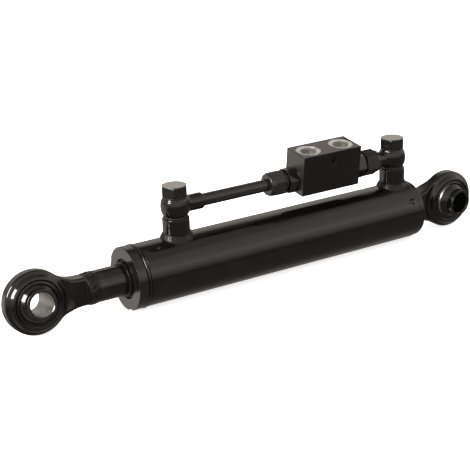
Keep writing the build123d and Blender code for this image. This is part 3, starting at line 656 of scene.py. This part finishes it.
PORT_TOP, THREAD_ROOT = BLOCK_HIGH - 0.35, THREAD_RADIUS - THREAD_DEPTH
for name, side in (("base", -1), ("rod", 1)):
    rows = [
        (0, 13.0), (PORT_RADIUS, 15), (PORT_RADIUS, PORT_TOP - 0.15), (PORT_RADIUS - 0.15, PORT_TOP),
        (11.75, PORT_TOP), (10.6, PORT_TOP - 1.15)]
    rows += thread_rows(ROUND, THREAD_ROOT, -THREAD_DEPTH, PORT_TOP - 1.3, 17.5, THREAD_PITCH)
    rows += [(9.4, 17.0), (9.4, 15.2), (2.5, 13.2), (0, 13.2)]
    place = BLOCK_PLACE @ move(side * PORT_OFFSET)
    insert = spin(f"valve_port_{name}", rows, place, closed=False, thetas=ROUND, angle=40)
    add(insert, "barrel", [], "bright")
plug_rows = [
    (0, 10), (PLUG_RADIUS - 0.05, 10), (PLUG_RADIUS - 0.05, 15.6, 0.4), (1.5, 15.6), (0.6, 14.9), (0, 14.9)]
plug = lathe("front_plug", plug_rows, BLOCK_PLACE @ PLUG_PLACE, 48)
add(plug, "barrel", ["gallery_plug"], "rubber")

# The gland with its spanner slots, the ring that locks it and the wiper in its face.
GLAND_FACE = span("gland_head")[1][0]
GLAND_RADIUS, WIPER_SEAT = 35.4, 443.0
FLANGE_START = TUBE_END + 4.2
gland = lathe("gland_nut", [
    (ROD_RADIUS + 0.05, 370.3), (25, 370.3, 0.8), (25, 392), (29.9, 392, 0.6), (29.9, 411.5), (31.4, 413),
    (31.4, FLANGE_START, 0.1), (GLAND_RADIUS, FLANGE_START, 0.9), (GLAND_RADIUS, GLAND_FACE, 0.7),
    (22.3, GLAND_FACE, 0.5), (21.6, WIPER_SEAT), (ROD_RADIUS + 0.05, WIPER_SEAT)], frame_x(), 192)
slots = []
for degrees in (-77, 43, 163):
    slot_tool = box((24, 6, 11))
    turn = Matrix.Rotation(math.radians(degrees), 4, "X")
    slot_tool.matrix_world = turn @ move((TUBE_END + GLAND_FACE) / 2 + 1.5, GLAND_RADIUS + 1.2)
    bevel(slot_tool, 0.5, segments=2)
    slots.append(slot_tool)
cut(gland, *slots)
gland.data.set_sharp_from_angle(angle=math.radians(28))
weighted(gland)
add(gland, "barrel", ["gland_head"], "gland")
x0, x1 = (end[0] for end in span("gland_ring"))
lock = lathe("gland_lock_ring", [
    (31.6, x0 + 0.1), (31.6, x1 - 0.1), (35.9, x1 - 0.1, 1.2), (35.9, x0 + 0.1, 1.2)], frame_x(), 192)
add(lock, "barrel", ["gland_ring"], "enamel")
lip = lathe("rod_wiper", [
    (19, WIPER_SEAT + 0.2), (21.5, WIPER_SEAT + 0.2), (21.5, GLAND_FACE - 1.6, 0.3),
    (19.4, GLAND_FACE - 0.8, 0.6), (20.0, GLAND_FACE + 1.6, 0.5), (19.6, GLAND_FACE + 3.4, 0.9),
    (ROD_RADIUS + 0.06, GLAND_FACE + 3.6, 0.3), (ROD_RADIUS + 0.06, WIPER_SEAT + 5), (19, WIPER_SEAT + 3.5)],
    frame_x(), 144)
add(lip, "barrel", ["wiper_seal"], "rubber")

# The rod, with its thin end for the piston, and the bead that joins it to the eye.
ROD_START, ROD_END, WELD_X = 76.5, 497.4, 492.5
rod = lathe("piston_rod_bar", [
    (0, ROD_START), (12, ROD_START, 1.5), (12, 130), (ROD_RADIUS, 130, 1), (ROD_RADIUS, 488), (12, ROD_END),
    (0, ROD_END)], frame_x(), 144)
add(rod, "piston_rod", ["rod"], "rod")


def rod_weld(x, y, z):
    """The bead between the rod and the eye's shank, about local X."""
    c, s = math.cos(ROD_TURN), math.sin(ROD_TURN)
    u, v = c * y + s * z, -s * y + c * z
    r = np.hypot(y, z)
    angle = np.arctan2(z, y)
    shank = smooth_max(np.abs(v) - SHANK_HEIGHT, np.abs(u) - SHANK_WIDTH, 8.0)
    shank = np.maximum(shank, 497 - x)
    bar = np.maximum(r - ROD_RADIUS, x - 488)
    crown = 18.0 - 1.6 * np.clip((x - 493) / 6, 0, 1) ** 2 - 1.2 * np.clip((490 - x) / 4, 0, 1) ** 2
    bead = np.maximum(r - crown, np.abs(x - WELD_X) - 6.2)
    fill = smooth_min(smooth_min(shank, bead, 3.0), bar, 1.5) + 0.10
    near = np.exp(-((x - WELD_X) / 4.5) ** 2)
    fill = fill + near * (weld_ripple(angle, 24, 0.45, 3, 0.9 * x) + 0.30 * lumps(x, y, z, 7, 9))
    return np.maximum(np.maximum(fill, 8 - r), np.maximum(485 - x, x - 503))


rod_bead = skin("rod_weld_bead", rod_weld, (484, -21, -21), (504, 21, 21), 0.5)
add(rod_bead, "piston_rod", ["rod_weld"], "weld")

# ------------------------------------------------------------------ materials


class Shader:
    """A node material built a call at a time; coordinates are the piece's own, in millimetres."""

    def __init__(self, name):
        self.material = bpy.data.materials.new(name)
        self.material.use_nodes = True
        self.tree = self.material.node_tree
        self.tree.nodes.clear()
        self.bsdf = self.tree.nodes.new("ShaderNodeBsdfPrincipled")
        out = self.tree.nodes.new("ShaderNodeOutputMaterial")
        self.tree.links.new(self.bsdf.outputs[0], out.inputs[0])
        coords = self.tree.nodes.new("ShaderNodeTexCoord")
        self.facing = coords.outputs["Normal"]
        self.at = self.math_vector("SCALE", coords.outputs["Object"], 1 / MM)

    def put(self, node, socket, value):
        if isinstance(value, bpy.types.NodeSocket):
            self.tree.links.new(value, node.inputs[socket])
        else:
            node.inputs[socket].default_value = value

    def math_vector(self, operation, a, b):
        node = self.tree.nodes.new("ShaderNodeVectorMath")
        node.operation = operation
        self.put(node, 0, a)
        self.put(node, "Scale" if operation == "SCALE" else 1, b)
        return node.outputs[0]

    def math(self, operation, a, b=0.0):
        node = self.tree.nodes.new("ShaderNodeMath")
        node.operation = operation
        self.put(node, 0, a)
        self.put(node, 1, b)
        return node.outputs[0]

    def axis(self, letter, vector=None):
        """One part of the place on the piece, or of another vector."""
        node = self.tree.nodes.new("ShaderNodeSeparateXYZ")
        self.put(node, 0, vector or self.at)
        return node.outputs[letter]

    def radius(self):
        """The distance from the piece's local Z."""
        squares = [self.math("POWER", self.axis(letter), 2) for letter in "XY"]
        return self.math("SQRT", self.math("ADD", *squares))

    def noise(self, size, detail=2.0, stretch=(1, 1, 1)):
        """Smooth noise from 0 to 1, whose lumps are about size millimetres across."""
        vector = self.math_vector("MULTIPLY", self.at, tuple(1 / s for s in stretch))
        node = self.tree.nodes.new("ShaderNodeTexNoise")
        self.put(node, "Vector", vector)
        self.put(node, "Scale", 1 / size)
        self.put(node, "Detail", detail)
        self.put(node, "Roughness", 0.5)
        return node.outputs["Fac"]

    def span(self, value, low, high, start=0.0, end=1.0):
        """Carries low..high to start..end and holds the ends."""
        node = self.tree.nodes.new("ShaderNodeMapRange")
        sockets = ("Value", "From Min", "From Max", "To Min", "To Max")
        for socket, v in zip(sockets, (value, low, high, start, end)):
            self.put(node, socket, v)
        return node.outputs[0]

    def blend(self, factor, a, b):
        node = self.tree.nodes.new("ShaderNodeMix")
        node.data_type = "RGBA"
        self.put(node, 0, factor)
        self.put(node, 6, (*a, 1) if isinstance(a, tuple) else a)
        self.put(node, 7, (*b, 1) if isinstance(b, tuple) else b)
        return node.outputs[2]

    def bump(self, *layers):
        """Stacks (height, depth in millimetres) layers of relief."""
        normal = None
        for height, depth in layers:
            node = self.tree.nodes.new("ShaderNodeBump")
            self.put(node, "Strength", 1.0)
            self.put(node, "Distance", depth * MM)
            self.put(node, "Height", height)
            if normal is not None:
                self.put(node, "Normal", normal)
            normal = node.outputs[0]
        self.put(self.bsdf, "Normal", normal)

    def set(self, **values):
        for key, value in values.items():
            socket = key.replace("_", " ")
            if isinstance(value, tuple) and len(value) == 3:
                value = (*value, 1)
            self.put(self.bsdf, socket, value)
        return self.material


def wear_colour(s, base, scuff, amount):
    """A base colour with dusty patches and a few fine scuffs."""
    patches = s.span(s.noise(26, 4), 0.52, 0.74, 0, amount)
    marks = s.span(s.noise(1.1, 3, (14, 1, 1)), 0.69, 0.74, 0, 0.35)
    worn = s.math("MAXIMUM", patches, s.math("MULTIPLY", marks, s.span(s.noise(40, 1), 0.5, 0.62)))
    return s.blend(worn, base, scuff)


def enamel(name, base=(0.0022, 0.0021, 0.0020), gloss=0.07, peel=0.006, lump=2.4, scuff=0.05):
    """Black gloss enamel, with orange peel, faint dust and fine scuffs."""
    s = Shader(name)
    colour = wear_colour(s, base, (0.030, 0.029, 0.028), scuff)
    rough = s.span(s.noise(9, 4), 0.3, 0.75, gloss, gloss + 0.07)
    s.bump((s.noise(lump, 2), peel), (s.noise(0.7, 2), peel * 0.12))
    return s.set(Base_Color=colour, Roughness=rough, IOR=1.5, Specular_IOR_Level=0.5)


def forging(name):
    """Black enamel over a shot-blasted forging: the scale shows through as soft pits."""
    s = Shader(name)
    colour = wear_colour(s, (0.0024, 0.0023, 0.0022), (0.030, 0.028, 0.026), 0.06)
    rough = s.span(s.noise(7, 4), 0.3, 0.75, 0.05, 0.13)
    s.bump((s.noise(4.5, 3), 0.012), (s.noise(1.3, 3), 0.003))
    return s.set(Base_Color=colour, Roughness=rough, IOR=1.5)


def weld(name):
    """Enamel over a weld bead, thicker in its valleys, with fine spatter."""
    s = Shader(name)
    colour = wear_colour(s, (0.0024, 0.0023, 0.0022), (0.035, 0.032, 0.030), 0.07)
    s.bump((s.noise(2.4, 2), 0.03), (s.span(s.noise(1.6, 1), 0.66, 0.76), 0.02))
    return s.set(Base_Color=colour, Roughness=s.span(s.noise(5, 3), 0.3, 0.7, 0.26, 0.42), IOR=1.5,
                 Specular_IOR_Level=0.28)


def satin(name, base=(0.010, 0.010, 0.0105), low=0.28, high=0.45):
    """Satin black paint on small turned parts."""
    s = Shader(name)
    colour = wear_colour(s, base, (0.05, 0.048, 0.045), 0.25)
    s.bump((s.noise(1.2, 3), 0.010))
    return s.set(Base_Color=colour, Roughness=s.span(s.noise(4, 3), 0.3, 0.7, low, high), IOR=1.5)


def bolt(name):
    """A bolt head: gloss flanks, and a satin top painted light grey as a painted sheen."""
    s = Shader(name)
    # The top face is painted light grey with a fine grain: a painted sheen where the head faces up.
    flat = s.math("GREATER_THAN", s.axis("Z"), HEAD_TOP - 0.2)
    grain = s.noise(0.9, 4)
    top = s.blend(s.span(grain, 0.3, 0.7), (0.105, 0.103, 0.099), (0.160, 0.157, 0.151))
    colour = s.blend(flat, wear_colour(s, (0.004, 0.0038, 0.0036), (0.035, 0.032, 0.030), 0.1), top)
    rough = s.math("ADD", s.span(s.noise(5, 3), 0.3, 0.7, 0.15, 0.27), s.math("MULTIPLY", flat, 0.22))
    s.bump((grain, 0.012), (s.noise(3.5, 2), 0.012))
    return s.set(Base_Color=colour, Roughness=rough, IOR=1.5)


def turned_steel(name, base=(0.74, 0.74, 0.73), rough=0.30, rings=0.35):
    """Bare steel with fine tool marks round local Z."""
    s = Shader(name)
    radius = s.radius()
    spiral = s.math("ADD", radius, s.math("MULTIPLY", s.axis("Z"), 0.7))
    lines = s.math("SINE", s.math("MULTIPLY", spiral, TAU / rings))
    stain = s.noise(6, 4)
    colour = s.blend(s.span(stain, 0.35, 0.75), base, tuple(0.72 * v for v in base))
    s.bump((lines, 0.004), (s.noise(1.5, 3), 0.004))
    return s.set(Base_Color=colour, Metallic=1.0, Roughness=s.span(stain, 0.3, 0.75, rough, rough + 0.16))


def block_paint(name):
    """Thin black paint over milled faces: the cutter's lines show; the top and end faces are painted lighter,
    a painted sheen, and rougher.
    """
    s = Shader(name)
    # The faces turned up and to the ends are picked by their facing and painted lighter: a painted sheen.
    top = s.span(s.axis("Z", s.facing), 0.85, 0.97)
    ends = s.span(s.math("ABSOLUTE", s.axis("X", s.facing)), 0.85, 0.97)
    painted_sheen_faces = s.math("MAXIMUM", top, ends)
    grain = s.noise(0.8, 4, (9, 1, 1))
    speck = s.noise(1.0, 4)
    # The lighter, speckled colour of the painted sheen on the top and end faces.
    light = s.blend(s.span(speck, 0.35, 0.7), (0.009, 0.0086, 0.008), (0.022, 0.021, 0.020))
    colour = s.blend(painted_sheen_faces, wear_colour(s, (0.0014, 0.0013, 0.0012), (0.03, 0.028, 0.026), 0.03), light)
    rough = s.math("ADD", s.span(speck, 0.3, 0.7, 0.13, 0.20), s.math("MULTIPLY", painted_sheen_faces, 0.14))
    s.bump((grain, 0.006), (speck, 0.006))
    return s.set(Base_Color=colour, Roughness=rough, IOR=1.5)


def gland_paint(name):
    """Gloss enamel over a turned gland, whose face shows fine rings and a sandy grain."""
    s = Shader(name)
    radius = s.radius()
    lines = s.math("SINE", s.math("MULTIPLY", radius, TAU / 0.8))
    colour = wear_colour(s, (0.0045, 0.0043, 0.0040), (0.030, 0.028, 0.026), 0.06)
    s.bump((lines, 0.0003), (s.noise(0.9, 3), 0.0012))
    return s.set(Base_Color=colour, Roughness=s.span(s.noise(6, 3), 0.3, 0.7, 0.03, 0.06), IOR=1.5)


def rubber(name):
    """Black rubber with a dull sheen."""
    s = Shader(name)
    colour = s.blend(s.span(s.noise(3, 4), 0.35, 0.7), (0.0035, 0.0034, 0.0034), (0.00665, 0.00646, 0.00646))
    s.bump((s.noise(0.9, 3), 0.010))
    rough = s.span(s.noise(4, 3), 0.3, 0.7, 0.16, 0.28)
    return s.set(Base_Color=colour, Roughness=rough, IOR=1.4, Specular_IOR_Level=0.16)


def rod_finish(name):
    """Enamel on the stretch that stands outside the gland, polished hard chrome inside it."""
    s = Shader(name)
    along = s.math("ADD", s.axis("Z"), s.span(s.noise(3, 3), 0.3, 0.7, -0.25, 0.25))
    painted = s.math("GREATER_THAN", along, GLAND_FACE + 2.4)
    band = s.math("MULTIPLY", s.math("GREATER_THAN", along, 479.5), s.math("LESS_THAN", along, 485.6))
    worn = wear_colour(s, (0.0024, 0.0023, 0.0022), (0.030, 0.028, 0.026), 0.06)
    paint = s.blend(band, worn, (0.0042, 0.0039, 0.0036))
    colour = s.blend(painted, (0.62, 0.63, 0.65), paint)
    gloss = s.span(s.noise(8, 3), 0.3, 0.7, 0.04, 0.07)
    bare = s.math("SUBTRACT", 1.0, painted)
    polish = s.span(s.noise(5, 3), 0.3, 0.7, 0.05, 0.10)
    rough = s.math("ADD", s.math("MULTIPLY", painted, gloss), s.math("MULTIPLY", bare, polish))
    s.bump((s.math("MULTIPLY", painted, s.noise(2.4, 2)), 0.012), (s.noise(0.6, 2, (1, 1, 0.1)), 0.0006))
    return s.set(Base_Color=colour, Metallic=bare, Roughness=rough, IOR=1.5)


def ball_finish(name, painted_radius, bore_radius):
    """A ground steel ball, bare under its socket and within bore_radius, enamelled where it was open."""
    s = Shader(name)
    radius = s.radius()
    edge = s.math("ADD", radius, s.span(s.noise(3, 3), 0.3, 0.7, -0.1, 0.1))
    outside = s.math("GREATER_THAN", edge, bore_radius)
    cap = s.math("LESS_THAN", edge, painted_radius)
    neck = s.math("GREATER_THAN", s.math("ABSOLUTE", s.axis("Z")), 9.0)
    proud = s.math("MAXIMUM", neck, s.math("LESS_THAN", edge, 14.0))
    painted = s.math("MULTIPLY", outside, s.math("MULTIPLY", cap, proud))
    stain = s.noise(5, 4)
    steel = s.blend(s.span(stain, 0.35, 0.75), (0.40, 0.40, 0.39), (0.30, 0.30, 0.295))
    colour = s.blend(painted, steel, wear_colour(s, (0.0024, 0.0023, 0.0022), (0.035, 0.032, 0.030), 0.05))
    gloss = s.math("MULTIPLY", painted, s.span(stain, 0.3, 0.7, -0.22, -0.24))
    rough = s.math("ADD", gloss, s.span(stain, 0.3, 0.7, 0.30, 0.42))
    s.bump((s.math("SINE", s.math("MULTIPLY", s.axis("Z"), TAU / 0.5)), 0.0010), (s.noise(2.6, 2), 0.005))
    return s.set(Base_Color=colour, Metallic=s.math("SUBTRACT", 1.0, painted), Roughness=rough, IOR=1.5)


def plastic(name, base, low, high):
    """Moulded plastic with faint flow marks."""
    s = Shader(name)
    colour = s.blend(s.span(s.noise(2, 4), 0.35, 0.7), base, tuple(0.7 * v for v in base))
    s.bump((s.noise(0.7, 3, (1, 1, 4)), 0.008))
    return s.set(Base_Color=colour, Roughness=s.span(s.noise(3, 3), 0.3, 0.7, low, high), IOR=1.5)


FINISHES = {
    "enamel": enamel("black_enamel"),
    "dry_enamel": enamel("dry_black_enamel", (0.007, 0.0068, 0.0066), 0.15, 0.008),
    "forging": forging("black_enamel_forging"),
    "weld": weld("black_enamel_weld"),
    "satin": satin("satin_black"),
    "bolt": bolt("bolt_head_black"),
    "bright": turned_steel("turned_steel"),
    "block": block_paint("block_paint"),
    "gland": gland_paint("gland_enamel"),
    "rubber": rubber("wiper_rubber"),
    "rod": rod_finish("rod_enamel_chrome"),
    "ball_base": ball_finish("ball_base_steel", 21.6, 0.0),
    "ball_rod": ball_finish("ball_rod_enamel", 23.0, 12.95),
    "seal": rubber("seal_rubber"),
    "spring": turned_steel("spring_steel", (0.40, 0.40, 0.41), 0.28, 0.5),
    "strip": plastic("guide_strip", (0.36, 0.28, 0.19), 0.45, 0.6),
    "moulded": plastic("piston_seal_plastic", (0.05, 0.20, 0.17), 0.3, 0.4),
}
INNER = {
    "seal_rubber": "seal", "bright_steel": "bright", "spring_steel": "spring", "guide_strip": "strip",
    "piston_seal": "moulded",
}

for obj, finish in PIECES.values():
    obj.data.materials.clear()
    obj.data.materials.append(FINISHES[finish])

SLOTS = {p["node"]: p["material_slot"] for p in frame["record"]["subparts"]}
for node, obj in frame["nodes"].items():
    if not obj.hide_render:
        obj.data.materials.clear()
        obj.data.materials.append(FINISHES[INNER[SLOTS[node]]])

# ------------------------------------------------------------------ floor, camera and light

bpy.ops.mesh.primitive_plane_add(size=40, location=(0, 0, cad_box[0][2]))
floor = bpy.context.object
floor.name = "floor"
s = Shader("pale_floor")
tint = s.span(s.noise(300, 3), 0.3, 0.7, 0.90, 0.93)
pale = s.set(Base_Color=tint, Roughness=0.8, Emission_Color=(1, 1, 1), Emission_Strength=0.75)
floor.data.materials.append(pale)
floor.visible_glossy = False

bpy.ops.mesh.primitive_uv_sphere_add(segments=48, ring_count=24, radius=25, location=(0, 0, 0))
backdrop = bpy.context.object
backdrop.name = "backdrop"
s = Shader("white_backdrop")
backdrop.data.materials.append(s.set(Base_Color=(0, 0, 0), Emission_Color=(1, 1, 1), Emission_Strength=1.1))
for ray in ("diffuse", "glossy", "transmission", "volume_scatter", "shadow"):
    setattr(backdrop, f"visible_{ray}", False)

CAMERA_AT = Vector((0.99708, 1.14152, 0.50175))
LOOK = Vector((-0.4854, -0.8053, -0.3405)).normalized()
SWING, ROLL = math.radians(31.078), math.radians(-2.25)
right = Vector((-math.cos(SWING), math.sin(SWING), 0))
up = right.cross(LOOK)
right, up = math.cos(ROLL) * right + math.sin(ROLL) * up, -math.sin(ROLL) * right + math.cos(ROLL) * up
camera = bpy.data.objects.new("camera", bpy.data.cameras.new("camera"))
bpy.context.scene.collection.objects.link(camera)
camera.matrix_world = Matrix.Translation(CAMERA_AT) @ Matrix((right, up, -LOOK)).transposed().to_4x4()
camera.data.sensor_width = 36
camera.data.lens = 96.24
camera.data.clip_end = 80
bpy.context.scene.camera = camera


WARM = (1.06, 0.98, 0.90)


def sky(front, back):
    """A soft studio all round: brightness by height, on the +Y and the -Y side of the object."""
    world = bpy.data.worlds.new("studio")
    world.use_nodes = True
    tree = world.node_tree
    tree.nodes.clear()
    out = tree.nodes.new("ShaderNodeOutputWorld")
    background = tree.nodes.new("ShaderNodeBackground")
    coords = tree.nodes.new("ShaderNodeTexCoord")
    parts = tree.nodes.new("ShaderNodeSeparateXYZ")
    tree.links.new(coords.outputs["Generated"], parts.inputs[0])
    ramps = []
    for stops in (front, back):
        height = tree.nodes.new("ShaderNodeMapRange")
        height.inputs["From Min"].default_value = -1
        tree.links.new(parts.outputs["Z"], height.inputs["Value"])
        ramp = tree.nodes.new("ShaderNodeValToRGB")
        ramp.color_ramp.interpolation = "EASE"
        elements = ramp.color_ramp.elements
        while len(elements) < len(stops):
            elements.new(0.5)
        for element, (z, value) in zip(elements, stops):
            element.position = (z + 1) / 2
            element.color = (*(value / 2 * tint for tint in WARM), 1)
        tree.links.new(height.outputs[0], ramp.inputs[0])
        ramps.append(ramp)
    beyond = tree.nodes.new("ShaderNodeMath")
    beyond.operation = "MULTIPLY_ADD"
    beyond.inputs[2].default_value = 1.0
    for k, (part, edges) in enumerate((("X", (0.15, 0.45, 0.0, 2.9)), ("Z", (-0.15, 0.08, 1.0, 0.0)))):
        reach = tree.nodes.new("ShaderNodeMapRange")
        reach.interpolation_type = "SMOOTHSTEP"
        for socket, value in zip(("From Min", "From Max", "To Min", "To Max"), edges):
            reach.inputs[socket].default_value = value
        tree.links.new(parts.outputs[part], reach.inputs["Value"])
        tree.links.new(reach.outputs[0], beyond.inputs[k])
    lift = tree.nodes.new("ShaderNodeVectorMath")
    lift.operation = "SCALE"
    tree.links.new(ramps[1].outputs[0], lift.inputs[0])
    tree.links.new(beyond.outputs[0], lift.inputs["Scale"])
    side = tree.nodes.new("ShaderNodeMapRange")
    side.interpolation_type = "SMOOTHSTEP"
    side.inputs["From Min"].default_value = -0.30
    side.inputs["From Max"].default_value = 0.20
    tree.links.new(parts.outputs["Y"], side.inputs["Value"])
    mix = tree.nodes.new("ShaderNodeMix")
    mix.data_type = "RGBA"
    tree.links.new(side.outputs[0], mix.inputs[0])
    tree.links.new(lift.outputs[0], mix.inputs[6])
    tree.links.new(ramps[0].outputs[0], mix.inputs[7])
    tree.links.new(mix.outputs[2], background.inputs[0])
    background.inputs[1].default_value = 2.0
    tree.links.new(background.outputs[0], out.inputs[0])
    bpy.context.scene.world = world


sky(
    front=[
        (-1, 0.17), (-0.5, 0.19), (-0.3, 0.20), (-0.12, 0.15), (0.02, 0.55), (0.2, 1.0), (0.37, 1.35),
        (0.53, 1.05), (0.66, 0.92), (0.77, 0.85), (0.86, 0.5), (1.0, 0.45)],
    back=[
        (-1, 0.24), (-0.87, 0.26), (-0.77, 0.33), (-0.62, 0.27), (-0.5, 0.25), (-0.2, 0.27), (0.0, 0.34),
        (0.17, 0.56), (0.34, 0.82), (0.5, 0.85), (0.62, 0.5), (0.70, 0.12), (0.80, 0.10), (0.90, 0.40),
        (1.0, 0.45)],
)


def softbox(name, direction, distance, width, height, power):
    """A rectangular light that faces the middle of the object."""
    middle = Vector((0.25, 0, 0.03))
    light = bpy.data.lights.new(name, "AREA")
    light.shape = "RECTANGLE"
    light.size, light.size_y = width, height
    light.energy = power
    light.color = WARM
    obj = bpy.data.objects.new(name, light)
    bpy.context.scene.collection.objects.link(obj)
    way = Vector(direction).normalized()
    obj.location = middle + way * distance
    obj.rotation_euler = way.to_track_quat("Z", "Y").to_euler()
    return obj


softbox("top_box", (0.0, 0.1, 1), 2.2, 1.6, 1.2, 30).visible_glossy = False
softbox("side_box", (3.655, 0.531, 2.09), 4.2, 1.5, 2.2, 270)

bpy.context.scene.view_settings.view_transform = "Standard"
